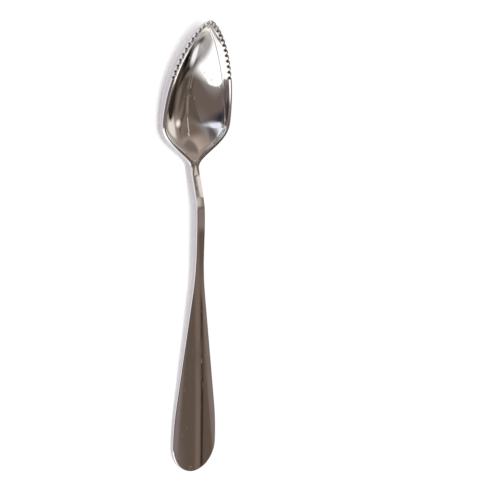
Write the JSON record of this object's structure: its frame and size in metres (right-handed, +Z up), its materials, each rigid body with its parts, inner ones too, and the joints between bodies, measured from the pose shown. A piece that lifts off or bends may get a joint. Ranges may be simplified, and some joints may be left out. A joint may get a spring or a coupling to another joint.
{
  "type": "grapefruit spoon",
  "caption": "Slim one-piece steel spoon with a pointed, tipped-up bowl, a serrated front rim, a thin arched neck and a flat handle that widens to a round end.",
  "frame": {"origin": "middle of the spoon's length and width, on the table that it lies on", "axes": "+Y along the spoon towards the tip of the bowl, +X across it, +Z up out of the open bowl"},
  "size_m": [0.0294, 0.158, 0.0153],
  "materials": {
    "steel": "mirror-polished stainless steel with fine scratches from use"
  },
  "bodies": {
    "root": {"spoon": "steel"}
  },
  "joints": []
}
